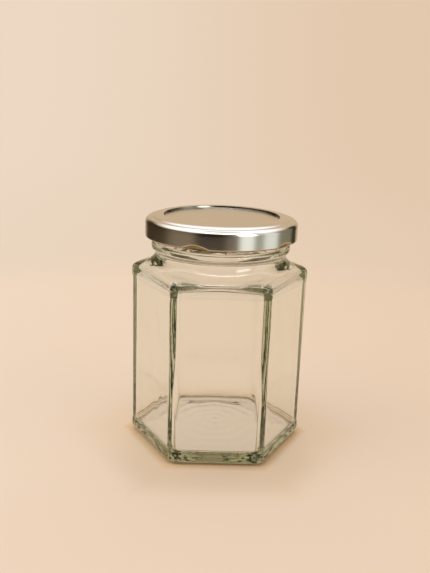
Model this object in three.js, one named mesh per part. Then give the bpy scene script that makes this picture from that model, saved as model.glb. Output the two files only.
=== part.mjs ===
// Hexagonal glass jar closed by a twist-off metal lid.
// Millimetres, +Z up. The origin is the centre of the face that the jar stands on.
// Two label panels face +Y and -Y, and two corners point along +X and -X.

import * as THREE from "three";

// Glass: the six-sided body
const PANEL_TO_CENTRE = 33.85;
const CORNER_RADIUS = 4.3;
const BAND_RELIEF = 0.25;
const PANEL_BOTTOM_Z = 6.1;
const PANEL_TOP_Z = 73.4;
const BAND_STEP = 0.7;
const SHOULDER_EDGE_Z = 77.8;

// Glass: the foot
const HEEL_RADIUS = 3.1;
const BEARING_WIDTH = 3;
const PUSH_UP = 1.4;
const PUSH_UP_RINGS = [0.35, 0.7, 0.93];
const FLOOR_THICKNESS = 4.8;
const FLOOR_CROWN = 0.9;
const FLOOR_FILLET = 5;
const FLOOR_RINGS = [0.75, 0.4];
const FLOOR_ROUNDNESS = 0.25;

// Glass: walls, neck and mouth
const WALL = 2.55;
const INNER_CORNER_RADIUS = 3.6;
const NECK_RADIUS = 28.4;
const NECK_BOTTOM_Z = 85.7;
const BEAD_RADIUS = 30.2;
const BEAD_BOTTOM_Z = 86.9;
const BEAD_TOP_Z = 90;
const FINISH_RADIUS = 29.4;
const BORE_RADIUS = 25.4;
const RIM_Z = 100.9;

// Glass: the ribs that the lid's lugs turn under
const START_COUNT = 5;
const RIB_FIRST_ANGLE = 273;
const RIB_SWEEP = 66;
const RIB_START_Z = 92.2;
const RIB_RISE = 2.6;
const RIB_DEPTH = 1.4;
const RIB_HALF_HEIGHT = 1.1;
const RIB_END_TAPER = 5;
const RIB_EDGE = 0.7;
const RIB_RINGS = 6;

// Lid
const LID_RADIUS = 33;
const LID_SHEET = 0.5;
const LID_BOTTOM_Z = 92.75;
const LID_TOP_Z = 102.1;
const LEDGE_Z = 100.8;
const LEDGE_ROUND = 1.5;
const GROOVE_RADIUS = 30.75;
const GROOVE_DEPTH = 0.1;
const RING_OUTER_RADIUS = 30.05;
const RING_INNER_RADIUS = 25.4;
const RING_ROUND = 1;
const PANEL_DROP = 0.95;
const PANEL_RADIUS = 24.5;
const CURL_WIDTH = 1.6;
const CURL_HEIGHT = 1.3;
const LUG_FIRST_ANGLE = 250.5;
const LUG_HALF_ANGLE = 12;
const LUG_END_TAPER = 6;
const LUG_DENT = 1;
const LUG_REACH = 0.2;
const LUG_HEIGHT = 1.9;

// How finely the surfaces are cut
const SIDES = 6;
const CORNER_STEPS = [1.7, 3.4, 7, 13, 21.5];
const LID_STATIONS = 60;
const ARC_STEPS = 3;

const DEG = Math.PI / 180;
const SECTOR = 360 / SIDES;
const COS_HALF = Math.cos(SECTOR / 2 * DEG);
const SIN_HALF = Math.sin(SECTOR / 2 * DEG);

const mix = (a, b, t) => a + (b - a) * t;
const smooth = (t) => t * t * (3 - 2 * t);
const clamp01 = (t) => Math.min(1, Math.max(0, t));

// Smallest turn from one angle to another, in degrees from -180 to 180
const turn = (angle) => ((angle % 360) + 540) % 360 - 180;

// Distance from the axis to a hexagon with rounded corners, in one direction
function hexReach(angle, toSide, corner) {
  const off = Math.abs(turn(angle - SECTOR * Math.round(angle / SECTOR))) * DEG;
  const toArc = (toSide - corner) / COS_HALF;
  const arcEnd = Math.atan2(corner * SIN_HALF, toArc + corner * COS_HALF);
  if (off > arcEnd) return toSide / Math.cos(SECTOR / 2 * DEG - off);
  return toArc * Math.cos(off) + Math.sqrt(corner ** 2 - (toArc * Math.sin(off)) ** 2);
}

// One level of the glass: a rounded hexagon that turns into a circle as round goes from 0 to 1
function hexRing(z, toSide, corner, round = 0, radius = toSide) {
  return (angle) => {
    const reach = mix(hexReach(angle, toSide, corner), radius, round);
    return { reach, z };
  };
}

const circleRing = (z, radius) => () => ({ reach: radius, z });

// Points along a stretch of an ellipse round a centre, between two angles
function arc(centre, width, height, fromAngle, toAngle, steps = ARC_STEPS) {
  return Array.from({ length: steps + 1 }, (_, i) => {
    const a = mix(fromAngle, toAngle, i / steps) * DEG;
    return [centre[0] + width * Math.cos(a), centre[1] + height * Math.sin(a)];
  });
}

// Closed surface from rings of equal point count, with a single point at each end.
// Each ring gives reach and z for an angle; rings run so that the outside is on the right.
function ringSurface(startZ, rings, endZ, angles) {
  const count = angles.length;
  const positions = [0, 0, startZ];
  for (const ring of rings) {
    for (const angle of angles) {
      const { reach, z } = ring(angle);
      positions.push(reach * Math.cos(angle * DEG), reach * Math.sin(angle * DEG), z);
    }
  }
  positions.push(0, 0, endZ);
  const last = 1 + rings.length * count;
  const index = [];
  for (let j = 0; j < count; j += 1) {
    const next = (j + 1) % count;
    index.push(0, 1 + next, 1 + j);
    for (let i = 0; i < rings.length - 1; i += 1) {
      const low = 1 + i * count;
      const high = low + count;
      index.push(low + j, low + next, high + next);
      index.push(low + j, high + next, high + j);
    }
    index.push(last - count + j, last - count + next, last);
  }
  const geometry = new THREE.BufferGeometry();
  geometry.setAttribute("position", new THREE.Float32BufferAttribute(positions, 3));
  geometry.setIndex(index);
  geometry.computeVertexNormals();
  return geometry;
}

// Directions of the glass points: close together at the corners, wide apart on the flats
function glassAngles() {
  const half = [...CORNER_STEPS].reverse().map((step) => -step);
  const offsets = [...half, 0, ...CORNER_STEPS, SECTOR / 2];
  return Array.from({ length: SIDES }, (_, side) => offsets.map((off) => side * SECTOR + off)).flat();
}

// Underside: a shallow push-up that grows from round to six-sided, then the flat bearing face
function footRings() {
  const bearingOuter = PANEL_TO_CENTRE + BAND_RELIEF - HEEL_RADIUS;
  const bearingInner = bearingOuter - BEARING_WIDTH;
  const rings = PUSH_UP_RINGS.map((part) => {
    const rise = PUSH_UP * (1 - part ** 3);
    return hexRing(rise, bearingInner * part, CORNER_RADIUS, 1 - part);
  });
  rings.push(hexRing(0, bearingInner, CORNER_RADIUS));
  for (const [reach, z] of arc([bearingOuter, HEEL_RADIUS], HEEL_RADIUS, HEEL_RADIUS, -90, 0)) {
    rings.push(hexRing(z, reach, CORNER_RADIUS));
  }
  return rings;
}

// Outside of the body: heel band, recessed label panels and shoulder band
function bodyRings() {
  const band = PANEL_TO_CENTRE + BAND_RELIEF;
  return [
    hexRing(PANEL_BOTTOM_Z - BAND_STEP, band, CORNER_RADIUS),
    hexRing(PANEL_BOTTOM_Z, PANEL_TO_CENTRE, CORNER_RADIUS),
    hexRing(PANEL_TOP_Z, PANEL_TO_CENTRE, CORNER_RADIUS),
    hexRing(PANEL_TOP_Z + BAND_STEP, band, CORNER_RADIUS),
  ];
}

// The way from the body's edge to the neck, as shares of the way in and of the way up:
// a rounded edge, a slope and a hollow fillet
const SHOULDER_CURVE = [
  [0, 0], [0.03, 0.12], [0.12, 0.23], [0.28, 0.32], [0.48, 0.39],
  [0.68, 0.49], [0.85, 0.64], [0.96, 0.83], [1, 1],
];

function shoulderRings(lowZ, highZ, toSide, corner, neckRadius) {
  return SHOULDER_CURVE.map(([inward, up]) => {
    const z = mix(lowZ, highZ, up);
    return hexRing(z, toSide, corner, inward, neckRadius);
  });
}

// How far a rib stands out of the finish at one direction and height
function ribRelief(angle, z) {
  let relief = 0;
  for (let k = 0; k < START_COUNT; k += 1) {
    const along = turn(angle - RIB_FIRST_ANGLE - k * 360 / START_COUNT - 180) + 180;
    if (along <= RIB_SWEEP) {
      const centre = RIB_START_Z + RIB_RISE * along / RIB_SWEEP;
      const ends = clamp01(Math.min(along, RIB_SWEEP - along) / RIB_END_TAPER);
      const across = clamp01((RIB_HALF_HEIGHT - Math.abs(z - centre)) / RIB_EDGE);
      relief = Math.max(relief, RIB_DEPTH * smooth(ends) * smooth(across));
    }
  }
  return relief;
}

// Neck, transfer bead, finish with its ribs, and the rounded rim
function neckRings() {
  const beadMiddle = (BEAD_BOTTOM_Z + BEAD_TOP_Z) / 2;
  const beadHalf = (BEAD_TOP_Z - BEAD_BOTTOM_Z) / 2;
  const lower = arc([NECK_RADIUS, beadMiddle], BEAD_RADIUS - NECK_RADIUS, beadHalf, -90, 0);
  const upper = arc([FINISH_RADIUS, beadMiddle], BEAD_RADIUS - FINISH_RADIUS, beadHalf, 0, 90);
  const rings = [...lower, ...upper.slice(1)].map(([reach, z]) => circleRing(z, reach));
  const ribSpan = RIB_RISE + 2 * RIB_HALF_HEIGHT;
  for (let i = 0; i <= RIB_RINGS; i += 1) {
    const z = RIB_START_Z - RIB_HALF_HEIGHT + ribSpan * i / RIB_RINGS;
    rings.push((angle) => ({ reach: FINISH_RADIUS + ribRelief(angle, z), z }));
  }
  const rimHalf = (FINISH_RADIUS - BORE_RADIUS) / 2;
  const rimMiddle = (FINISH_RADIUS + BORE_RADIUS) / 2;
  for (const [reach, z] of arc([rimMiddle, RIM_Z - rimHalf], rimHalf, rimHalf, 0, 180, 2 * ARC_STEPS)) {
    rings.push(circleRing(z, reach));
  }
  return rings;
}

// Inside: bore, inner shoulder, walls, the fillet at the floor and the slightly crowned floor
function insideRings() {
  const toSide = PANEL_TO_CENTRE - WALL;
  const shoulder = shoulderRings(
    SHOULDER_EDGE_Z - WALL, NECK_BOTTOM_Z - WALL / 2, toSide, INNER_CORNER_RADIUS, BORE_RADIUS,
  );
  const rings = [...shoulder].reverse();
  const flatToSide = toSide - FLOOR_FILLET;
  const filletCentre = [flatToSide, FLOOR_THICKNESS + FLOOR_FILLET];
  for (const [reach, z] of arc(filletCentre, FLOOR_FILLET, FLOOR_FILLET, 0, -90)) {
    const inset = toSide - reach;
    rings.push(hexRing(z, reach, INNER_CORNER_RADIUS + inset, inset / FLOOR_FILLET * FLOOR_ROUNDNESS));
  }
  for (const part of FLOOR_RINGS) {
    const corner = (INNER_CORNER_RADIUS + FLOOR_FILLET) * part;
    const z = FLOOR_THICKNESS + FLOOR_CROWN * (1 - part ** 2);
    rings.push(hexRing(z, flatToSide * part, corner, mix(1, FLOOR_ROUNDNESS, part)));
  }
  return rings;
}

function glassGeometry() {
  const shoulder = shoulderRings(
    SHOULDER_EDGE_Z, NECK_BOTTOM_Z, PANEL_TO_CENTRE + BAND_RELIEF, CORNER_RADIUS, NECK_RADIUS,
  );
  const rings = [...footRings(), ...bodyRings(), ...shoulder, ...neckRings(), ...insideRings()];
  return ringSurface(PUSH_UP, rings, FLOOR_THICKNESS + FLOOR_CROWN, glassAngles());
}

// How strongly a lug is pressed in at one direction and height, from 0 to 1
function lugPress(angle, z) {
  const spacing = 360 / START_COUNT;
  const nearest = LUG_FIRST_ANGLE + spacing * Math.round((angle - LUG_FIRST_ANGLE) / spacing);
  const sideways = clamp01((LUG_HALF_ANGLE - Math.abs(turn(angle - nearest))) / LUG_END_TAPER);
  const upward = clamp01(1 - (z - LID_BOTTOM_Z - CURL_HEIGHT / 2) / LUG_HEIGHT);
  return smooth(sideways) * smooth(upward);
}

// Outer line of the lid's half section: panel edge, raised ring, groove, ledge and skirt
function lidTopLine() {
  const skirtEnd = LID_BOTTOM_Z + CURL_HEIGHT / 2 + LUG_HEIGHT;
  return [
    [PANEL_RADIUS, LID_TOP_Z - PANEL_DROP],
    [RING_INNER_RADIUS, LID_TOP_Z - LID_SHEET / 2],
    [RING_INNER_RADIUS + LID_SHEET, LID_TOP_Z],
    ...arc([RING_OUTER_RADIUS - RING_ROUND, LID_TOP_Z - RING_ROUND], RING_ROUND, RING_ROUND, 90, 0, 2),
    [GROOVE_RADIUS, LEDGE_Z - GROOVE_DEPTH],
    ...arc([LID_RADIUS - LEDGE_ROUND, LEDGE_Z - LEDGE_ROUND], LEDGE_ROUND, LEDGE_ROUND, 90, 0),
    [LID_RADIUS, skirtEnd],
  ];
}

// The same line, moved by the thickness of the sheet to its right-hand side
function innerLine(line) {
  return line.map(([reach, z], i) => {
    const [r0, z0] = line[Math.max(0, i - 1)];
    const [r1, z1] = line[Math.min(line.length - 1, i + 1)];
    const length = Math.hypot(r1 - r0, z1 - z0);
    return [reach + LID_SHEET * (z1 - z0) / length, z - LID_SHEET * (r1 - r0) / length];
  });
}

// Half section of the lid, from the centre of its underside round to the centre of its top
function lidSection() {
  const top = lidTopLine();
  const curlCentre = [LID_RADIUS - CURL_WIDTH / 2, LID_BOTTOM_Z + CURL_HEIGHT / 2];
  return [
    ...innerLine(top),
    [LID_RADIUS - CURL_WIDTH, LID_BOTTOM_Z + CURL_HEIGHT],
    ...arc(curlCentre, CURL_WIDTH / 2, CURL_HEIGHT / 2, 180, 360, 4),
    [LID_RADIUS, LID_BOTTOM_Z + CURL_HEIGHT / 2 + LUG_HEIGHT / 2],
    ...top.reverse(),
  ];
}

function lidGeometry() {
  const curlMiddle = LID_RADIUS - CURL_WIDTH / 2;
  const rings = lidSection().map(([reach, z]) => (angle) => {
    const shift = reach > curlMiddle ? LUG_DENT : LUG_REACH;
    return { reach: reach - shift * lugPress(angle, z), z };
  });
  const panelZ = LID_TOP_Z - PANEL_DROP;
  const angles = Array.from({ length: LID_STATIONS }, (_, i) => 360 * i / LID_STATIONS);
  return ringSurface(panelZ - LID_SHEET, rings, panelZ, angles);
}

const glassMaterial = new THREE.MeshStandardMaterial({
  color: 0xdfe8dc, roughness: 0.04, metalness: 0, transparent: true, opacity: 0.35,
});
const lidMaterial = new THREE.MeshStandardMaterial({ color: 0xc9bba8, roughness: 0.28, metalness: 1 });

const jar = new THREE.Mesh(glassGeometry(), glassMaterial);
jar.name = "jar_glass";
const lid = new THREE.Mesh(lidGeometry(), lidMaterial);
lid.name = "lid";

const group = new THREE.Group();
group.add(jar, lid);
export default group;
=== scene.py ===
# %% [markdown]
# A hexagonal jar of clear glass, closed by a bright twist-off lid. The solids of the jar
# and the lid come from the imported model, and this file gives them their real surfaces:
# poured glass with its green edges, and pressed tinplate.
# The lengths of shapes are typed in millimetres, as a maker reads them, and turned into metres
# at the end. The finishes read places from the model itself, so their numbers are in metres.

# %% Load the frame
import math

import bpy
import numpy as np
from mathutils import Matrix, Vector


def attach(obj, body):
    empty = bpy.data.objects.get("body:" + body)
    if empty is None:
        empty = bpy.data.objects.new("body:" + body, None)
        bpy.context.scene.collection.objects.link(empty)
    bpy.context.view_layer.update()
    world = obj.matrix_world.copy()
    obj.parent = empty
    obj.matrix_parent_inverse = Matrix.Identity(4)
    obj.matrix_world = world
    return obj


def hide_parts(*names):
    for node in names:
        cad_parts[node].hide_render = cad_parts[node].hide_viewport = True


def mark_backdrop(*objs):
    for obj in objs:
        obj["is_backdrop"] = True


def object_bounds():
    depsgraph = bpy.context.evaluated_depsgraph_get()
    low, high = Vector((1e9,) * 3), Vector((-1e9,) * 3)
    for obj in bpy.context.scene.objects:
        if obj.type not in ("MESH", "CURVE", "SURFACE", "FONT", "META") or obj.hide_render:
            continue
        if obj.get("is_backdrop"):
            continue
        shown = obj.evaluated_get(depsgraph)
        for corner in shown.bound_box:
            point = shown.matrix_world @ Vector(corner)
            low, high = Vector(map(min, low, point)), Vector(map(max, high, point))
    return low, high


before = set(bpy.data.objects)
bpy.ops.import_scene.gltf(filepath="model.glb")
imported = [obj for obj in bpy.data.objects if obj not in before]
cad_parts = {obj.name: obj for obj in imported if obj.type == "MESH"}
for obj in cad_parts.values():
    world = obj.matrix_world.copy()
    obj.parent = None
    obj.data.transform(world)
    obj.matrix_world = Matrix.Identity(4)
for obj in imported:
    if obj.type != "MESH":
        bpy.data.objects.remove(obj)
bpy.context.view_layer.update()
MM = 0.001
print("solids:", sorted(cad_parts))

# %% [markdown]
# The camera comes first, because every surface is judged through it. It stands close to the
# jar and a few centimetres above its lid, and looks a little down, so that the lid's top shows
# as a thin oval and the floor of the jar can be seen through the front panel. A camera is a
# matrix of three directions: to the right, up, and back from what it sees.

# %% Camera
CAMERA_DISTANCE = 306.38
CAMERA_ELEVATION = math.radians(15.57)
CAMERA_YAW = math.radians(-1.05)
CAMERA_ROLL = math.radians(1.90)
CAMERA_SIDE_STEP = -1.95
CAMERA_AIM_HEIGHT = 69.74
SENSOR = 36.0
LENS = 43.21
NEAREST_SEEN = 0.01

back = Vector((
    math.sin(CAMERA_YAW) * math.cos(CAMERA_ELEVATION),
    -math.cos(CAMERA_YAW) * math.cos(CAMERA_ELEVATION),
    math.sin(CAMERA_ELEVATION),
))
level_right = (-back).cross(Vector((0, 0, 1))).normalized()
level_up = level_right.cross(-back)
right = level_right * math.cos(CAMERA_ROLL) + level_up * math.sin(CAMERA_ROLL)
up = level_up * math.cos(CAMERA_ROLL) - level_right * math.sin(CAMERA_ROLL)
aim = Vector((0, 0, CAMERA_AIM_HEIGHT))
place = aim + back * CAMERA_DISTANCE + level_right * CAMERA_SIDE_STEP
directions = Matrix((right, up, back)).transposed().to_4x4()

camera = bpy.data.objects.new("camera", bpy.data.cameras.new("camera"))
bpy.context.scene.collection.objects.link(camera)
camera.matrix_world = Matrix.Translation(place * MM) @ directions
camera.data.sensor_width = SENSOR
camera.data.lens = LENS
camera.data.clip_start = NEAREST_SEEN
bpy.context.scene.camera = camera
print("camera at", [round(v, 1) for v in place], "mm")

# %% [markdown]
# Finishes are made from shader nodes. Wiring them one by one hides the thought in them, so
# a small class wraps a node's output, and Python's own operators add the maths nodes:
# `ripple * 0.5 + 1` is then two nodes and one readable line. Numbers go to Math nodes, and
# colours and directions to Vector Math nodes, because a Math node would turn a colour grey.

# %% Wires and benches
DEGREES = 180 / math.pi
MIX_FIRST = 6
MIX_SECOND = 7
MIX_RESULT = 2
WHITE = (1, 1, 1, 1)


class Wire:
    """One output of a node. Operators on it add maths nodes to the same bench."""

    def __init__(self, bench, socket):
        self.bench = bench
        self.socket = socket

    def _join(self, operation, first, second):
        wires = [w for w in (first, second) if isinstance(w, Wire)]
        if all(w.socket.type == "VALUE" for w in wires):
            kind = "ShaderNodeMath"
        else:
            kind = "ShaderNodeVectorMath"
            first, second = [
                v if isinstance(v, (Wire, tuple)) else (v, v, v) for v in (first, second)
            ]
        return self.bench.node(kind, {"operation": operation}, {0: first, 1: second})

    def __add__(self, other):
        return self._join("ADD", self, other)

    def __radd__(self, other):
        return self._join("ADD", other, self)

    def __sub__(self, other):
        return self._join("SUBTRACT", self, other)

    def __rsub__(self, other):
        return self._join("SUBTRACT", other, self)

    def __mul__(self, other):
        return self._join("MULTIPLY", self, other)

    def __rmul__(self, other):
        return self._join("MULTIPLY", other, self)

    def step(self, low, high):
        """0 below low, 1 above high, and a soft rise in between; high may be below low."""
        return self.bench.node(
            "ShaderNodeMapRange",
            {"interpolation_type": "SMOOTHSTEP", "clamp": True},
            {"Value": self, "From Min": low, "From Max": high, "To Min": 0.0, "To Max": 1.0},
        )

    def band(self, middle, half, soft):
        """1 within half of middle, and softly 0 beyond it."""
        distance = self.bench.maths("ABSOLUTE", self - middle)
        return distance.step(half + soft, half)


class Bench:
    """The node tree of one finish."""

    def __init__(self, owner):
        owner.use_nodes = True
        self.tree = owner.node_tree
        self.tree.nodes.clear()

    def node(self, kind, settings=None, inlets=None, outlet=0):
        """Any node: its settings first, then the values or wires of its inlets."""
        made = self.tree.nodes.new(kind)
        for name, value in (settings or {}).items():
            setattr(made, name, value)
        for key, value in (inlets or {}).items():
            if isinstance(value, Wire):
                self.tree.links.new(value.socket, made.inputs[key])
            else:
                made.inputs[key].default_value = value
        return Wire(self, made.outputs[outlet]) if made.outputs else made

    def maths(self, operation, first, second=None):
        """A step of maths that has no operator, such as the larger of two numbers."""
        inlets = {0: first} if second is None else {0: first, 1: second}
        return self.node("ShaderNodeMath", {"operation": operation}, inlets)

    def axis(self, vector, letter):
        """How far a place or a direction reaches along X, Y or Z."""
        return self.node("ShaderNodeSeparateXYZ", {}, {"Vector": vector}, outlet=letter)

    def bearing(self, across, deep):
        """Degrees round the upright axis: 0 in front, more to the right."""
        return self.maths("ARCTAN2", across, 0 - deep) * DEGREES

    def mix(self, share, first, second):
        """Colour first where share is 0, and second where it is 1."""
        return self.node(
            "ShaderNodeMix", {"data_type": "RGBA"},
            {"Factor": share, MIX_FIRST: first, MIX_SECOND: second}, outlet=MIX_RESULT,
        )

    def noise(self, place, scale, detail):
        """Cloudy grey that is the same each time."""
        return self.node(
            "ShaderNodeTexNoise", {"noise_dimensions": "3D"},
            {"Vector": place, "Scale": scale, "Detail": detail}, outlet="Fac",
        )


def colour(red, green, blue):
    """A screen colour in 0..255, as the linear light that Blender works in."""
    parts = [c / 255 for c in (red, green, blue)]
    linear = [p / 12.92 if p <= 0.04045 else ((p + 0.055) / 1.055) ** 2.4 for p in parts]
    return (*linear, 1.0)


print("wires and benches are ready")

# %% [markdown]
# The jar stands on a plain pale sheet of paper that curves up far behind it, so no horizon
# shows, and closes high above as a ceiling. A surface of revolution does that all round, and
# the jar can be seen from any side before the same plain ground. The part close to the jar is
# a piece of its own, because it alone is near enough to be mirrored in the lid's skirt, and
# the far part is hidden from mirrors.

# %% Surfaces of revolution for the studio
def sheet_mesh(name, rings, closed_centre):
    """A mesh from rings of points, in millimetres; neighbouring rings are joined by quads.

    Each closed centre is a point, the ring that it closes, and whether its faces are turned over.
    """
    rings = np.asarray(rings, float)
    count = rings.shape[1]
    points = rings.reshape(-1, 3)
    rows, cols = np.meshgrid(np.arange(len(rings) - 1), np.arange(count), indexing="ij")
    low = rows * count + cols
    low_next = rows * count + (cols + 1) % count
    faces = np.stack([low, low_next, low_next + count, low + count], -1).reshape(-1, 4).tolist()
    for centre, ring, flip in closed_centre:
        tip = len(points)
        points = np.vstack([points, centre])
        base = (ring % len(rings)) * count
        around = [[tip, base + (j + 1) % count, base + j] for j in range(count)]
        faces += [face[::-1] for face in around] if flip else around
    mesh = bpy.data.meshes.new(name)
    mesh.from_pydata((points * MM).tolist(), [], faces)
    mesh.polygons.foreach_set("use_smooth", np.ones(len(mesh.polygons), bool))
    mesh.update()
    thing = bpy.data.objects.new(name, mesh)
    bpy.context.scene.collection.objects.link(thing)
    return thing


def round_rings(profile, angles):
    """Rings of points for a line of (reach, height) turned round the axis."""
    profile = np.asarray(profile, float)
    flat = np.stack([np.cos(angles), np.sin(angles)], -1)
    return np.concatenate([
        profile[:, :1, None] * flat[None],
        np.broadcast_to(profile[:, 1:, None], (len(profile), len(angles), 1)),
    ], -1)


print("sheets and rings are ready")

# %% Paper ground
GROUND_NEAR = 310.0
GROUND_FAR = 1100.0
GROUND_CURVE = 500.0
WALL_HEIGHT = 1000.0
STUDIO_STEP = 3.0

studio_angles = np.radians(np.arange(0, 360, STUDIO_STEP))
near_line = [(GROUND_NEAR, 0), (140, 0), (60, 0)]
ground_near = sheet_mesh(
    "ground_near", round_rings(near_line, studio_angles), [((0, 0, 0), -1, True)],
)
curve = [
    (GROUND_FAR + GROUND_CURVE * math.sin(t), GROUND_CURVE * (1 - math.cos(t)))
    for t in np.radians(np.arange(90, -1, -6))
]
ceiling = [(200, 2600), (900, 2400), (1350, 1900), (GROUND_FAR + GROUND_CURVE, WALL_HEIGHT)]
far_line = [*ceiling, *curve, (500, 0), (GROUND_NEAR, 0)]
ground_far = sheet_mesh("ground_far", round_rings(far_line, studio_angles), [])
ground_far.visible_glossy = False
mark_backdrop(ground_near, ground_far)

# %% [markdown]
# Paper that far away is lit evenly by its own lamps in a studio. Instead of those lamps the
# far paper shines a little by itself, and the near paper, which catches the jar's shadow, is
# mostly matt. The change from one to the other is spread over a third of a metre.
# A jar of glass lets light through to the paper under it and beside it, but a renderer
# follows that light badly. So the paper shines a little there too, as painted light, and where
# the glass stands on it, it is painted warmer, as the shade at its foot and the light through
# green glass would tint it. The paper on the side of the camera and the ceiling are a little
# darker: glass shows its edges only where it finds something darker to bend into view.

# %% Paper finish
# painted light: the paper is lighter on the left, where the light comes from, and dimmer to the
# right
PAPER_LIT_LEFT = colour(236, 216, 195)
PAPER_DIMMER_RIGHT = colour(227, 201, 174)
PAINTED_FALLOFF_ACROSS = (-0.45, 0.45)
PAPER_ALBEDO = 0.71
FIBRE_SCALE = 900.0
FIBRE_DETAIL = 3.0
FIBRE_SHADE = 0.03
SHINE_REACH = (0.06, 0.42)
FRONT_DIMMING = 0.3
FRONT_HALF_ANGLE = 66.0
FRONT_SOFT_ANGLE = 40.0
FRONT_REACH = (0.25, 0.7)
CEILING_DIMMING = 0.45
CEILING_RISE = (0.7, 1.6)

paper = bpy.data.materials.new("paper")
bench = Bench(paper)
spot = bench.node("ShaderNodeTexCoord", outlet="Object")
across, deep, tall = [bench.axis(spot, letter) for letter in "XYZ"]
# painted light falls off across the paper, from the lit left to the dimmer right
tone = bench.mix(across.step(*PAINTED_FALLOFF_ACROSS), PAPER_LIT_LEFT, PAPER_DIMMER_RIGHT)
fibre = bench.noise(spot, FIBRE_SCALE, FIBRE_DETAIL)
from_jar = bench.node(
    "ShaderNodeVectorMath", {"operation": "LENGTH"}, {0: spot}, outlet="Value",
)
in_front = bench.bearing(across, deep).band(0.0, FRONT_HALF_ANGLE, FRONT_SOFT_ANGLE)
dimmed = in_front * from_jar.step(*FRONT_REACH) * FRONT_DIMMING
dimmed_above = tall.step(*CEILING_RISE) * CEILING_DIMMING
print("paper shines from", SHINE_REACH[1] / MM, "mm on")

# %% Painted light through the glass and painted shade before it, by distance to the nearest side of the jar
LIGHT_THROUGH_GLASS = 0.53
THROUGH_GLASS_FROM = (0.034, 0.0385)
LIGHT_FARTHER_OUT = 0.13
FARTHER_OUT_FROM = (0.045, 0.085)
LIGHT_UNDER_GLASS = 0.88
UNDER_GLASS_FROM = (0.0325, 0.0285)
CONTACT_SHADE_TINT = (1.0, 0.91, 0.70, 1)
CONTACT_SHADE_TINT_FROM = (0.066, 0.033)
NEAR_SHADE = 0.10
NEAR_SHADE_MIDDLE = 0.041
NEAR_SHADE_HALF = 0.004
NEAR_SHADE_SOFT = 0.016
NEAR_SHADE_DEPTH = (-0.015, -0.04)

to_side = 0.0
for turn in (0, math.pi / 3, -math.pi / 3):
    to_pair = bench.maths("ABSOLUTE", across * math.sin(turn) + deep * math.cos(turn))
    to_side = bench.maths("MAXIMUM", to_pair, to_side)
# painted shade: a band of darker paper just in front of the jar
shade = to_side.band(NEAR_SHADE_MIDDLE, NEAR_SHADE_HALF, NEAR_SHADE_SOFT)
tone = tone * (1 - shade * deep.step(*NEAR_SHADE_DEPTH) * NEAR_SHADE)
beside = to_side.step(*THROUGH_GLASS_FROM) * LIGHT_THROUGH_GLASS
beside = beside + to_side.step(*FARTHER_OUT_FROM) * LIGHT_FARTHER_OUT
under = to_side.step(*UNDER_GLASS_FROM) * LIGHT_UNDER_GLASS
shining = bench.maths("MAXIMUM", from_jar.step(*SHINE_REACH), beside + under)
# painted shade and light: the paper at the jar's foot is tinted warm, as light through green glass
# would tint it
painted_contact_tint = bench.mix(to_side.step(*CONTACT_SHADE_TINT_FROM), WHITE, CONTACT_SHADE_TINT)
grain = fibre * FIBRE_SHADE + (1 - FIBRE_SHADE / 2)
matt = bench.node("ShaderNodeBsdfPrincipled", {}, {
    "Base Color": tone * painted_contact_tint * PAPER_ALBEDO * (1 - shining) * grain,
    "Roughness": 1.0,
    "Specular IOR Level": 0.0,
    "Emission Color": tone * shining * (1 - dimmed) * (1 - dimmed_above),
    "Emission Strength": 1.0,
})
bench.node("ShaderNodeOutputMaterial", {}, {"Surface": matt})
for ground in (ground_near, ground_far):
    ground.data.materials.append(paper)
print("paper ground reaches", GROUND_FAR + GROUND_CURVE, "mm")

# %% [markdown]
# Light in a studio does two jobs. Large soft panels above and to the left light the paper and
# give the faint shadow on the right. What the bright metal and the glass mirror is another
# matter: a dark room in front, a tall bright window on the right, a pale ceiling and a narrow
# lamp high in front. Those are laid out in the world as soft-edged cards, each by its bearing
# and its height in degrees, and only mirrored rays see them.

# %% Soft panels
PANEL_TINT = (1.0, 0.99, 1.0)
PANEL_AIM = Vector((0, 0, 50))


def soft_panel(name, where, size, power):
    """A square light that looks at the jar and is seen neither itself nor in a mirror."""
    data = bpy.data.lights.new(name, "AREA")
    data.size = size * MM
    data.energy = power
    data.color = PANEL_TINT
    panel = bpy.data.objects.new(name, data)
    bpy.context.scene.collection.objects.link(panel)
    panel.location = Vector(where) * MM
    panel.rotation_euler = (PANEL_AIM - Vector(where)).to_track_quat("-Z", "Y").to_euler()
    panel.visible_camera = False
    panel.visible_glossy = False
    panel.visible_transmission = False


# name: place, width in millimetres, power in watts
SOFT_PANELS = {
    "panel_above": ((0, 100, 1300), 1700, 14.0),
    "panel_left": ((-1000, -250, 700), 1100, 12.0),
    "panel_right": ((900, -500, 700), 1000, 6.0),
    "panel_behind": ((150, 1100, 750), 1300, 5.0),
}
for name, (where, size, power) in SOFT_PANELS.items():
    soft_panel(name, where, size, power)
print(len(SOFT_PANELS), "soft panels hang above and on three sides")

# %% World seen in mirrors
world = bpy.data.worlds.new("room")
bpy.context.scene.world = world
bench = Bench(world)
ray = bench.node("ShaderNodeTexCoord", outlet="Generated")
across, deep, tall = [bench.axis(ray, letter) for letter in "XYZ"]
bearing = bench.bearing(across, deep)
height = bench.maths("ARCSINE", tall) * DEGREES

WALL_TONE = colour(214, 190, 160)
FLOOR_TONE = colour(178, 142, 100)
CEILING_TONE = (1.5, 1.5, 1.6, 1)
OVERHEAD_TONE = (0.82, 0.79, 0.74, 1)
WALL_FROM = (-42.0, -26.0)
CEILING_FROM = (30.0, 46.0)
OVERHEAD_FROM = (70.0, 78.0)
room = bench.mix(height.step(*WALL_FROM), FLOOR_TONE, WALL_TONE)
room = bench.mix(height.step(*CEILING_FROM), room, CEILING_TONE)
room = bench.mix(height.step(*OVERHEAD_FROM), room, OVERHEAD_TONE)
print("the room has a floor, walls and a ceiling")

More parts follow.
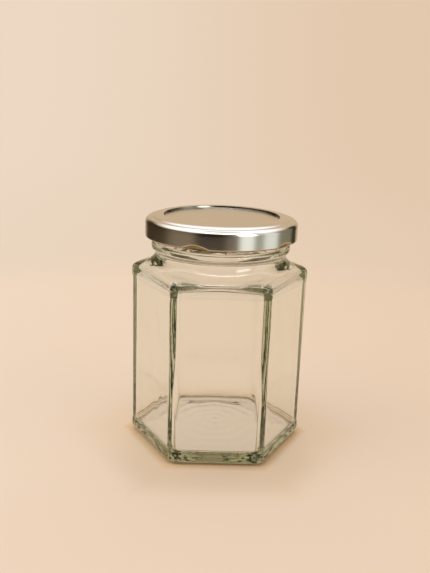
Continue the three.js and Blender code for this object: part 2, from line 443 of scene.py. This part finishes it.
# %% Cards in the room
# bearing of the middle, half width, softness; height of the middle, half height, softness;
# colour. A card that stands later in the list covers those before it.
CARDS = {
    "dark_room_left": (-112, 32, 20, -4, 28, 8, colour(60, 49, 34)),
    "dim_room_left": (-54, 16, 30, 0, 34, 10, colour(124, 112, 92)),
    "grey_front": (10, 14, 8, 2, 38, 8, colour(112, 102, 90)),
    "dark_front": (-17, 16, 14, 2, 38, 8, colour(36, 33, 28)),
    "window": (39, 9, 8, 6, 40, 12, (1.1, 1.16, 1.13, 1)),
    "window_frame": (59, 7, 7, 6, 40, 12, colour(162, 164, 150)),
    "window_side": (79, 10, 9, 2, 36, 12, (0.92, 0.97, 0.93, 1)),
    "grey_right": (112, 16, 10, -4, 26, 10, colour(132, 130, 110)),
    "lamp": (8, 42, 25, 62, 2.5, 3, (8.0, 8.0, 8.3, 1)),
    "window_sky": (39, 9, 6, 22, 8, 6, (6.5, 6.5, 6.8, 1)),
    "dark_strip": (137, 7, 6, -4, 26, 10, colour(40, 34, 26)),
}
for middle, half, soft, high, rise, fade, tone in CARDS.values():
    card = bearing.band(middle, half, soft) * height.band(high, rise, fade)
    room = bench.mix(card, room, tone)
glow = bench.node("ShaderNodeBackground", {}, {"Color": room, "Strength": 1.0})
bench.node("ShaderNodeOutputWorld", {}, {"Surface": glow})
world.cycles_visibility.diffuse = False
world.cycles_visibility.transmission = False
print("mirrored room has", len(CARDS), "cards")

# %% [markdown]
# The glass is one closed skin: from the push-up under the foot, round the heel, up the six
# panels, over the shoulder to the neck, across the rim and down the inside again. A hexagon
# whose corners are rounded is written as a distance for each direction, so every level of the
# jar has the same number of points, and the shoulder is simply a blend from that hexagon to
# a circle. Glass bends light at every step of its surface, so the levels are many and close.

# %% Sizes of the glass
PANEL_TO_CENTRE = 33.85
CORNER_RADIUS = 4.3
BAND_RELIEF = 0.25
PANEL_BOTTOM_Z = 6.1
PANEL_TOP_Z = 73.4
BAND_STEP = 1.3
SHOULDER_EDGE_Z = 77.8
HEEL_RADIUS = 3.1
BEARING_WIDTH = 3.0
PUSH_UP = 1.4
FLOOR_THICKNESS = 4.8
FLOOR_CROWN = 0.9
FLOOR_FILLET = 1.6
FLOOR_ROUNDNESS = 0.25
WALL = 4.2
WALL_LOW = 3.6
WALL_CHANGE_Z = (24.0, 54.0)
INNER_CORNER_RADIUS = 3.0
INNER_CORNER_TOP = 1.5
INNER_SHOULDER_GROWTH = 20.0
NECK_RADIUS = 28.4
NECK_BOTTOM_Z = 85.7
BEAD_RADIUS = 30.2
BEAD_BOTTOM_Z = 86.9
BEAD_TOP_Z = 90.0
FINISH_RADIUS = 29.4
GROOVE_RADIUS = 27.8
BEAD_EDGE = 0.5
BORE_RADIUS = 25.4
RIM_Z = 100.9
SIDES = 6
SECTOR = 360 / SIDES
HALF = math.radians(SECTOR / 2)
# from, up to and step, in degrees away from a corner
ANGLE_SPANS = [(0, 4, 0.25), (4, 8, 0.5), (8, SECTOR / 2 + 0.1, 1.0)]


def hex_reach(angles, to_side, corner):
    """Distance from the axis to a hexagon with rounded corners, for each direction in degrees."""
    off = np.radians(np.abs((angles + SECTOR / 2) % SECTOR - SECTOR / 2))
    to_arc = (to_side - corner) / math.cos(HALF)
    arc_end = np.arctan2(corner * math.sin(HALF), to_arc + corner * math.cos(HALF))
    on_flat = to_side / np.cos(HALF - off)
    under_root = np.maximum(corner ** 2 - (to_arc * np.sin(off)) ** 2, 0)
    on_corner = to_arc * np.cos(off) + np.sqrt(under_root)
    return np.where(off > arc_end, on_flat, on_corner)


def glass_angles():
    """Directions of the points: close together at the corners, wider apart on the flats."""
    half = np.concatenate([np.arange(low, high, step) for low, high, step in ANGLE_SPANS])
    offsets = np.concatenate([-half[:0:-1], half[:-1]])
    return np.concatenate([side * SECTOR + offsets for side in range(SIDES)])


angles = glass_angles()
print(len(angles), "points in each level of the glass")

# %% [markdown]
# Two small helpers draw the lines of a section: an arc, and a smooth line through a few
# points. Both give many points, because a mirror or a lens shows every straight stretch.

# %% Lines of a section
def arc(centre, width, tall, start, end, steps):
    """Points on an oval round the centre, from one direction to another in degrees."""
    turn = np.radians(np.linspace(start, end, steps + 1))
    return np.stack([centre[0] + width * np.cos(turn), centre[1] + tall * np.sin(turn)], -1)


def smooth_line(points, steps):
    """A line through the points without corners (Catmull-Rom)."""
    p = np.asarray(points, float)
    p = np.vstack([2 * p[0] - p[1], p, 2 * p[-1] - p[-2]])
    t = np.linspace(0, 1, steps, endpoint=False)[:, None]
    spans = [
        0.5 * (2 * p[i] + (p[i + 1] - p[i - 1]) * t
               + (2 * p[i - 1] - 5 * p[i] + 4 * p[i + 1] - p[i + 2]) * t ** 2
               + (3 * p[i] - p[i - 1] - 3 * p[i + 1] + p[i + 2]) * t ** 3)
        for i in range(1, len(p) - 2)
    ]
    return np.vstack([*spans, p[-2:-1]])


def ease(t):
    """0 below 0, 1 above 1, and a soft rise in between."""
    t = np.clip(t, 0, 1)
    return t * t * (3 - 2 * t)


def level(z, reach):
    """One level of the glass: a height and a reach, both for every direction."""
    return np.stack([
        reach * np.cos(np.radians(angles)), reach * np.sin(np.radians(angles)),
        np.broadcast_to(z, angles.shape),
    ], -1)


def hex_level(z, to_side, corner, roundness=0.0, radius=0.0):
    """A level between a hexagon, at roundness 0, and a circle, at 1."""
    return level(z, hex_reach(angles, to_side, corner) * (1 - roundness) + radius * roundness)


print("a quarter of an arc in 8 steps has", len(arc((0, 0), 1, 1, 0, 90, 8)), "points")

# %% [markdown]
# A pressed or blown jar stands on a ring that is knurled: short ridges across the ring keep
# the hot foot off the conveyor. Seen through the thick heel they break up into the speckled
# green band along the jar's lower edge. The ridges run across the ring, so their height is a
# wave along each side, faded out at the ring's inner edge and part of the way up the heel.

# %% The foot of the glass
FOOT_LEVELS = 16
RING_LEVELS = 10
HEEL_STEPS = 16
KNURL_DEPTH = 0.12
KNURL_PITCH = 3.0
KNURL_FADE_IN = 0.3
KNURL_UP_HEEL = 0.55
KNURL_LEAN = 0.3
FOOT_FIRST_PART = 0.06
RING_FIRST_PART = 0.1

band_reach = PANEL_TO_CENTRE + BAND_RELIEF
bearing_outer = band_reach - HEEL_RADIUS
bearing_inner = bearing_outer - BEARING_WIDTH
from_middle = np.radians((angles % SECTOR) - SECTOR / 2)
along_side = bearing_outer * np.tan(from_middle)
knurl_wave = 0.5 - 0.5 * np.cos(2 * math.pi * along_side / KNURL_PITCH)

foot = []
for part in np.linspace(FOOT_FIRST_PART, 1, FOOT_LEVELS):
    rise = PUSH_UP * (1 - part ** 3)
    reach = bearing_inner * part
    foot.append(hex_level(rise, reach, CORNER_RADIUS, 1 - part, reach))
for part in np.linspace(RING_FIRST_PART, 1, RING_LEVELS):
    ridge = KNURL_DEPTH * knurl_wave * ease(part / KNURL_FADE_IN)
    foot.append(hex_level(ridge, bearing_inner + BEARING_WIDTH * part, CORNER_RADIUS))
heel_line = arc((bearing_outer, HEEL_RADIUS), HEEL_RADIUS, HEEL_RADIUS, -90, 0, HEEL_STEPS)
for reach, z in heel_line[1:]:
    ridge = KNURL_DEPTH * knurl_wave * ease(1 - z / (KNURL_UP_HEEL * HEEL_RADIUS))
    foot.append(hex_level(z + ridge, reach - KNURL_LEAN * ridge, CORNER_RADIUS))
print("foot has", len(foot), "levels")

# %% [markdown]
# The six flat panels are sunk a quarter of a millimetre between a heel band and a shoulder
# band. The shoulder then leans in over a rounded edge and a hollow, and turns from a hexagon
# into the round neck on the way. The same function draws the shoulder inside, where the
# corners also grow rounder as they lean in. That leaves the glass thick at the corners of the
# shoulder, where it gathers into the dark green lenses that a jar of this kind shows.

# %% Panels and shoulder
SHOULDER_CURVE = [
    (0, 0), (0.03, 0.12), (0.12, 0.23), (0.28, 0.32), (0.48, 0.39),
    (0.68, 0.49), (0.85, 0.64), (0.96, 0.83), (1, 1),
]
SHOULDER_STEPS = 6
GROWTH_DONE = 0.5


def shoulder(low_z, high_z, to_side, corner, neck_radius, corner_growth=0.0):
    """Levels that lean in from the hexagon to the round neck."""
    levels = []
    for inward, rise in smooth_line(SHOULDER_CURVE, SHOULDER_STEPS):
        z = low_z + (high_z - low_z) * rise
        rounder = corner + corner_growth * ease(inward / GROWTH_DONE)
        levels.append(hex_level(z, to_side, rounder, inward, neck_radius))
    return levels


def panel_reach(z):
    """Distance to the side at a height: the panels lie behind the two bands."""
    above_heel = ease((z - PANEL_BOTTOM_Z + BAND_STEP) / BAND_STEP)
    below_shoulder = ease((PANEL_TOP_Z + BAND_STEP - z) / BAND_STEP)
    return band_reach - BAND_RELIEF * (above_heel * below_shoulder)


# each stretch begins where the one before it ended; the last number is its count of heights
body_heights = np.concatenate([
    np.linspace(HEEL_RADIUS, PANEL_BOTTOM_Z - BAND_STEP, 4)[1:],
    np.linspace(PANEL_BOTTOM_Z - BAND_STEP, PANEL_BOTTOM_Z, 7)[1:],
    np.linspace(PANEL_BOTTOM_Z, PANEL_TOP_Z, 28)[1:],
    np.linspace(PANEL_TOP_Z, PANEL_TOP_Z + BAND_STEP, 7)[1:],
    np.linspace(PANEL_TOP_Z + BAND_STEP, SHOULDER_EDGE_Z, 5)[1:-1],
])
body = [hex_level(z, panel_reach(z), CORNER_RADIUS) for z in body_heights]
over = shoulder(SHOULDER_EDGE_Z, NECK_BOTTOM_Z, band_reach, CORNER_RADIUS, NECK_RADIUS)
print("body has", len(body), "levels and the shoulder", len(over))

# %% [markdown]
# Above the shoulder stands the finish: a smooth bead that the filler's machine holds the jar
# by, a narrow groove over it, then five short ribs that climb a little as they go round. Each
# of the lid's lugs slides under one rib, which is what pulls the lid down in a fifth of a turn.

# %% Neck, bead, ribs and rim
STARTS = 5
RIB_FIRST_ANGLE = 273.0
RIB_SWEEP = 66.0
RIB_START_Z = 92.2
RIB_RISE = 2.6
RIB_DEPTH = 1.4
RIB_HALF_HEIGHT = 1.1
RIB_END_TAPER = 5.0
RIB_EDGE = 0.7
RIB_LEVELS = 22
RIM_STEPS = 20


def rib_relief(z):
    """How far the ribs stand out at a height, for each direction."""
    relief = np.zeros_like(angles)
    for start in range(STARTS):
        along = (angles - RIB_FIRST_ANGLE - start * 360 / STARTS) % 360
        middle = RIB_START_Z + RIB_RISE * along / RIB_SWEEP
        ends = ease(np.minimum(along, RIB_SWEEP - along) / RIB_END_TAPER)
        upright = ease((RIB_HALF_HEIGHT - np.abs(z - middle)) / RIB_EDGE)
        relief = np.maximum(relief, np.where(along <= RIB_SWEEP, RIB_DEPTH * ends * upright, 0))
    return relief


def round_level(z, reach):
    """One round level of the glass."""
    return level(z, np.full_like(angles, reach))


print(STARTS, "ribs stand out", RIB_DEPTH, "mm")

# %% Levels from the bead to the rim
bead_middle = (BEAD_BOTTOM_Z + BEAD_TOP_Z) / 2
bead_half = (BEAD_TOP_Z - BEAD_BOTTOM_Z) / 2
bead_under = arc((NECK_RADIUS, bead_middle), BEAD_RADIUS - NECK_RADIUS, bead_half, -90, 0, 10)
bead_edge_centre = (BEAD_RADIUS - BEAD_EDGE, BEAD_TOP_Z - BEAD_EDGE)
bead_edge = arc(bead_edge_centre, BEAD_EDGE, BEAD_EDGE, 0, 90, 8)
# the groove's points: distance from the axis, height
groove = smooth_line([
    (GROOVE_RADIUS + 0.3, BEAD_TOP_Z), (GROOVE_RADIUS, BEAD_TOP_Z + 0.2),
    (GROOVE_RADIUS + 0.15, BEAD_TOP_Z + 0.6), (FINISH_RADIUS, BEAD_TOP_Z + 1.0),
], 3)
neck = [round_level(z, reach) for reach, z in np.vstack([bead_under, bead_edge, groove])]
rib_low = RIB_START_Z - RIB_HALF_HEIGHT
rib_high = RIB_START_Z + RIB_RISE + RIB_HALF_HEIGHT
rib_heights = np.linspace(rib_low, rib_high, RIB_LEVELS)
neck += [level(z, FINISH_RADIUS + rib_relief(z)) for z in rib_heights]
rim_half = (FINISH_RADIUS - BORE_RADIUS) / 2
rim_centre = ((FINISH_RADIUS + BORE_RADIUS) / 2, RIM_Z - rim_half)
rim_line = arc(rim_centre, rim_half, rim_half, 0, 180, RIM_STEPS)
neck += [round_level(z, reach) for reach, z in rim_line]
print("neck and rim have", len(neck), "levels")

# %% [markdown]
# The inside was never touched by a mould, so its walls wander by less than a tenth of a
# millimetre, and the floor kept faint rings and a dimple from the air that shaped it. Those
# small waves are what makes the background shimmer behind the glass, and they are added to
# the inner levels only. The walls are thick and their inner corners sharp, because that is
# what bends the light at the corners of the jar into green bands.

# %% Inside of the glass
WALL_LEVELS = 34
FILLET_STEPS = 14
FLOOR_LEVELS = 34
WANDER = 0.04
# strength, waves round the wall, slant for each millimetre of height, start
WANDER_WAVES = [(1.0, 3, 0.07, 0.0), (0.7, 7, -0.11, 1.3), (0.5, 13, 0.16, 0.4)]
FLOOR_RIPPLE = 0.05
RIPPLE_PITCH = 5.5
INNER_SHOULDER_Z = 73.6
RIPPLE_SWIRL = 0.6
RIPPLE_FADE_OUT = 0.2
RIPPLE_FADE_IN = 0.1
WANDER_ABOVE_FLOOR = 20.0
WANDER_BELOW_SHOULDER = 10.0
FLOOR_LAST_PART = 0.04
DIMPLE_DEPTH = 0.3
DIMPLE_RADIUS = 2.2

to_inside = PANEL_TO_CENTRE - WALL
to_inside_low = PANEL_TO_CENTRE - WALL_LOW
flat_to_side = to_inside_low - FLOOR_FILLET


def wander(z):
    """Slow waves of the inner wall."""
    turn = np.radians(angles)
    waves = sum(
        strength * np.sin(count * turn + slant * z + start)
        for strength, count, slant, start in WANDER_WAVES
    )
    above_floor = ease((z - FLOOR_THICKNESS - FLOOR_FILLET) / WANDER_ABOVE_FLOOR)
    below_shoulder = ease((SHOULDER_EDGE_Z - z) / WANDER_BELOW_SHOULDER)
    return WANDER * waves * above_floor * below_shoulder


wall_heights = np.linspace(INNER_SHOULDER_Z, FLOOR_THICKNESS + FLOOR_FILLET, WALL_LEVELS)[1:-1]
furthest = max(np.abs(wander(z)).max() for z in wall_heights)
print("inner walls wander by up to", round(furthest, 3), "mm")

# %% Levels of the inside, from the neck down to the middle of the floor
inside = shoulder(
    INNER_SHOULDER_Z, NECK_BOTTOM_Z - WALL / 2, to_inside,
    INNER_CORNER_TOP, BORE_RADIUS, INNER_SHOULDER_GROWTH,
)[::-1]
for z in wall_heights:
    upper = ease((z - WALL_CHANGE_Z[0]) / (WALL_CHANGE_Z[1] - WALL_CHANGE_Z[0]))
    reach = to_inside_low + (to_inside - to_inside_low) * upper
    corner = INNER_CORNER_RADIUS + (INNER_CORNER_TOP - INNER_CORNER_RADIUS) * upper
    inside.append(level(z, hex_reach(angles, reach, corner) - wander(z)))
fillet_centre = (flat_to_side, FLOOR_THICKNESS + FLOOR_FILLET)
for reach, z in arc(fillet_centre, FLOOR_FILLET, FLOOR_FILLET, 0, -90, FILLET_STEPS):
    inset = to_inside_low - reach
    roundness = inset / FLOOR_FILLET * FLOOR_ROUNDNESS
    inside.append(hex_level(z, reach, INNER_CORNER_RADIUS + inset, roundness, reach))
swirl = np.sin(np.radians(angles) + RIPPLE_SWIRL)
for part in np.linspace(1, FLOOR_LAST_PART, FLOOR_LEVELS)[1:]:
    roundness = 1 + (FLOOR_ROUNDNESS - 1) * part
    corner = (INNER_CORNER_RADIUS + FLOOR_FILLET) * part
    reach = flat_to_side * part
    fade = ease((1 - part) / RIPPLE_FADE_OUT) * ease(part / RIPPLE_FADE_IN)
    ripple = FLOOR_RIPPLE * fade * np.sin(2 * math.pi * reach / RIPPLE_PITCH + swirl)
    dimple = DIMPLE_DEPTH * ease(1 - reach / DIMPLE_RADIUS)
    z = FLOOR_THICKNESS + FLOOR_CROWN * (1 - part ** 2) + ripple - dimple
    inside.append(hex_level(z, reach, corner, roundness, reach))
print("inside has", len(inside), "levels")

# %% Join the levels into one skin
foot_middle = (0, 0, PUSH_UP)
floor_middle = (0, 0, FLOOR_THICKNESS + FLOOR_CROWN - DIMPLE_DEPTH)
glass = sheet_mesh(
    "jar_glass_body", [*foot, *body, *over, *neck, *inside],
    [(foot_middle, 0, False), (floor_middle, -1, True)],
)
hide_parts("jar_glass")
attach(glass, "root")
print("glass has", len(glass.data.polygons), "faces")

# %% [markdown]
# Soda-lime glass is clear across a thin wall and green along a long path, which is why only
# the edges and the heel look green. The colour therefore sits in the volume, as absorption,
# and the surface stays white. It has hardly any roughness, only where a hand has smeared it,
# and a bump of very low waves for the skin that the mould left.

# %% Finish of the glass
GREEN_GLASS = (0.28, 0.38, 0.05, 1)
GREEN_STRENGTH = 17.5
GLASS_IOR = 1.52
SKIN_SCALE = 160.0
SKIN_DETAIL = 2.0
SKIN_STRENGTH = 0.12
SKIN_DEPTH = 0.0004
SMEAR_SCALE = 45.0
SMEAR_DETAIL = 3.0
SMEAR_FROM = (0.55, 0.85)
SMEAR_COLOUR = (0.985, 0.995, 0.985, 1)
SMEAR_ROUGHNESS = 0.02

clear_glass = bpy.data.materials.new("poured_glass")
bench = Bench(clear_glass)
spot = bench.node("ShaderNodeTexCoord", outlet="Object")
skin = bench.noise(spot, SKIN_SCALE, SKIN_DETAIL)
wavy = bench.node(
    "ShaderNodeBump", {},
    {"Strength": SKIN_STRENGTH, "Distance": SKIN_DEPTH, "Height": skin},
)
smear = bench.noise(spot, SMEAR_SCALE, SMEAR_DETAIL).step(*SMEAR_FROM)
melt = bench.node("ShaderNodeBsdfPrincipled", {}, {
    "Base Color": bench.mix(smear, WHITE, SMEAR_COLOUR),
    "Roughness": smear * SMEAR_ROUGHNESS,
    "IOR": GLASS_IOR,
    "Transmission Weight": 1.0,
    "Normal": wavy,
})
tint = bench.node(
    "ShaderNodeVolumeAbsorption", {}, {"Color": GREEN_GLASS, "Density": GREEN_STRENGTH},
)
bench.node("ShaderNodeOutputMaterial", {}, {"Surface": melt, "Volume": tint})
glass.data.materials.append(clear_glass)
print("glass takes up", GREEN_STRENGTH, "per metre where it is greenest")

# %% [markdown]
# The lid is pressed from tinplate a quarter of a millimetre thick: a sunk panel, a raised ring
# over the rim, a shallow groove, a rounded ledge, the skirt, and an edge rolled inward so
# that it doesn't cut. At five places the roll is pushed in to make the lugs. One line round
# the section, turned about the axis, makes it all, and the lugs are a dent in that surface.

# %% Section of the lid
# each point of the top line is a distance from the axis and a height
LID_RADIUS = 33.0
LID_SHEET = 0.28
LID_BOTTOM_Z = 92.75
LID_TOP_Z = 102.1
PANEL_DROP = 0.95
CURL_WIDTH = 1.5
CURL_HEIGHT = 1.3
PANEL_Z = LID_TOP_Z - PANEL_DROP

top_line = smooth_line([
    (6, PANEL_Z), (16, PANEL_Z), (24.2, PANEL_Z), (24.68, PANEL_Z + 0.02), (24.82, PANEL_Z + 0.15),
    (24.95, PANEL_Z + 0.5), (25.08, PANEL_Z + 0.85), (25.22, LID_TOP_Z - 0.01), (26.0, LID_TOP_Z),
    (27.5, LID_TOP_Z - 0.05), (28.6, LID_TOP_Z - 0.22), (29.4, LID_TOP_Z - 0.46),
    (30.0, LID_TOP_Z - 0.78), (30.5, LID_TOP_Z - 0.95), (31.1, LID_TOP_Z - 1.0),
    (31.7, LID_TOP_Z - 1.22), (32.3, LID_TOP_Z - 1.65), (32.75, LID_TOP_Z - 2.25),
    (32.97, LID_TOP_Z - 3.0), (LID_RADIUS, LID_TOP_Z - 4.2), (LID_RADIUS, LID_BOTTOM_Z + 3.2),
    (LID_RADIUS, LID_BOTTOM_Z + 2.0), (LID_RADIUS, LID_BOTTOM_Z + 0.9),
], 5)
curl_centre = (LID_RADIUS - CURL_WIDTH / 2, LID_BOTTOM_Z + CURL_HEIGHT / 2)
curl_line = arc(curl_centre, CURL_WIDTH / 2, CURL_HEIGHT / 2, 0, -200, 16)
slope = np.gradient(top_line, axis=0)
slope /= np.linalg.norm(slope, axis=1, keepdims=True)
under_line = (top_line + LID_SHEET * np.stack([slope[:, 1], -slope[:, 0]], -1))[::-1]
lid_line = np.vstack([top_line, curl_line, under_line])
print("lid section has", len(lid_line), "points")

# %% Turn the section and press in the lugs
LUG_FIRST_ANGLE = 250.5
LUG_HALF_ANGLE = 14.5
LUG_HEIGHT = 2.1
LUG_SLOPE = 0.85
LUG_DENT = 1.3
LUG_REACH = 0.5
LID_STEP = 1.0

lid_angles = np.radians(np.arange(0, 360, LID_STEP))
lid_rings = round_rings(lid_line, lid_angles)


def lug_press(z, most):
    """How far the sheet is pushed in under the arch of a lug, for each direction."""
    spacing = 360 / STARTS
    off = np.abs((np.degrees(lid_angles) - LUG_FIRST_ANGLE + spacing / 2) % spacing - spacing / 2)
    arch = LUG_HEIGHT * ease(1 - off / LUG_HALF_ANGLE)
    return np.clip((arch - (z - LID_BOTTOM_Z)) * LUG_SLOPE, 0, most)


for ring, (reach, z) in zip(lid_rings, lid_line):
    push = lug_press(z, LUG_DENT if reach > LID_RADIUS - CURL_WIDTH / 2 else LUG_REACH)
    ring[:, :2] *= ((reach - push) / reach)[:, None]

lid = sheet_mesh(
    "lid_shell", lid_rings,
    [((0, 0, PANEL_Z), 0, False), ((0, 0, PANEL_Z - LID_SHEET), -1, True)],
)
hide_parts("lid")
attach(lid, "root")
print("lid has", len(lid.data.polygons), "faces")

# %% [markdown]
# Tinplate is a bright metal with a satin sheen: a mirror that is slightly out of focus. It is a
# metal all over, with a roughness that wanders a little, and fine lines along the rolling
# direction of the sheet as a very low bump. The inside is coated with a golden lacquer, which
# shows where the roll turns up under the skirt; it is drawn darker than bright lacquer, as
# painted shade for the shaded paper that those down-facing surfaces mirror. The foot of the
# raised ring is painted darker: that is painted shade in the corner, and it dims the glint
# that the wall of the ring would mirror there.

# %% Finish of the lid
PLATE_GREY = (0.74, 0.70, 0.63, 1)
PLATE_PALE = (0.78, 0.74, 0.67, 1)
CLOUD_SCALE = 60.0
CLOUD_DETAIL = 3.0
SATIN = 0.17
SATIN_CHANGE = 0.06
ROLLING_SCALE = (150.0, 2600.0, 150.0)
ROLLING_DETAIL = 2.0
ROLLING_STRENGTH = 0.05
ROLLING_DEPTH = 0.0001
GOLD_LACQUER_AND_SHADE = (0.42, 0.29, 0.15, 1)
LACQUER_AND_SHADE_FACING = (-0.1, -0.3)
LACQUER_AND_SHADE_BELOW = (0.0975, 0.0965)
SHADED_PLATE = (0.30, 0.27, 0.22, 1)
RING_FOOT = 0.0248
RING_FOOT_SHADE = 0.0003
RING_FOOT_FACING = (0.98, 0.9)

tinplate = bpy.data.materials.new("tinplate")
bench = Bench(tinplate)
spot = bench.node("ShaderNodeTexCoord", outlet="Object")
across, deep, tall = [bench.axis(spot, letter) for letter in "XYZ"]
cloud = bench.noise(spot, CLOUD_SCALE, CLOUD_DETAIL)
stretched = bench.node("ShaderNodeMapping", {}, {"Vector": spot, "Scale": ROLLING_SCALE})
grain = bench.noise(stretched, 1.0, ROLLING_DETAIL)
rolled = bench.node(
    "ShaderNodeBump", {},
    {"Strength": ROLLING_STRENGTH, "Distance": ROLLING_DEPTH, "Height": grain},
)
facing_up = bench.axis(bench.node("ShaderNodeNewGeometry", outlet="Normal"), "Z")
# gold lacquer on the down-facing surfaces, drawn dark as painted shade for the shaded paper that
# they mirror
lacquer_and_shade = facing_up.step(*LACQUER_AND_SHADE_FACING) * tall.step(*LACQUER_AND_SHADE_BELOW)
reach = bench.maths("SQRT", across * across + deep * deep)
# painted shade at the foot of the raised ring, which also dims the glint that its wall mirrors
on_ring_foot = reach.band(RING_FOOT, RING_FOOT_SHADE, RING_FOOT_SHADE)
corner_shade = on_ring_foot * facing_up.step(*RING_FOOT_FACING)
plate = bench.mix(cloud, PLATE_GREY, PLATE_PALE)
plate = bench.mix(corner_shade, plate, SHADED_PLATE)
metal = bench.node("ShaderNodeBsdfPrincipled", {}, {
    "Base Color": bench.mix(lacquer_and_shade, plate, GOLD_LACQUER_AND_SHADE),
    "Metallic": 1.0,
    "Roughness": SATIN + cloud * SATIN_CHANGE,
    "Normal": rolled,
})
bench.node("ShaderNodeOutputMaterial", {}, {"Surface": metal})
lid.data.materials.append(tinplate)
print("lid finish is made")

# %% [markdown]
# Light that goes through a jar crosses four glass walls, and some of it is mirrored inside them
# many times, so the renderer is allowed long paths. Colours are shown as they are, without a
# film curve, so that the pale paper keeps its tone.

# %% How light is followed and shown
LONGEST_PATH = 32
GLASS_CROSSINGS = 28
MIRRORINGS = 16
PAPER_BOUNCES = 3

scene = bpy.context.scene
scene.cycles.max_bounces = LONGEST_PATH
scene.cycles.transmission_bounces = GLASS_CROSSINGS
scene.cycles.glossy_bounces = MIRRORINGS
scene.cycles.diffuse_bounces = PAPER_BOUNCES
scene.cycles.use_denoising = True
scene.view_settings.view_transform = "Standard"
print("light may cross", GLASS_CROSSINGS, "surfaces of glass")

# %% Sizes, then the end
visual_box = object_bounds()
box_in_mm = [[round(v / MM, 1) for v in corner] for corner in visual_box]
print("box of the finished part in mm:", box_in_mm)
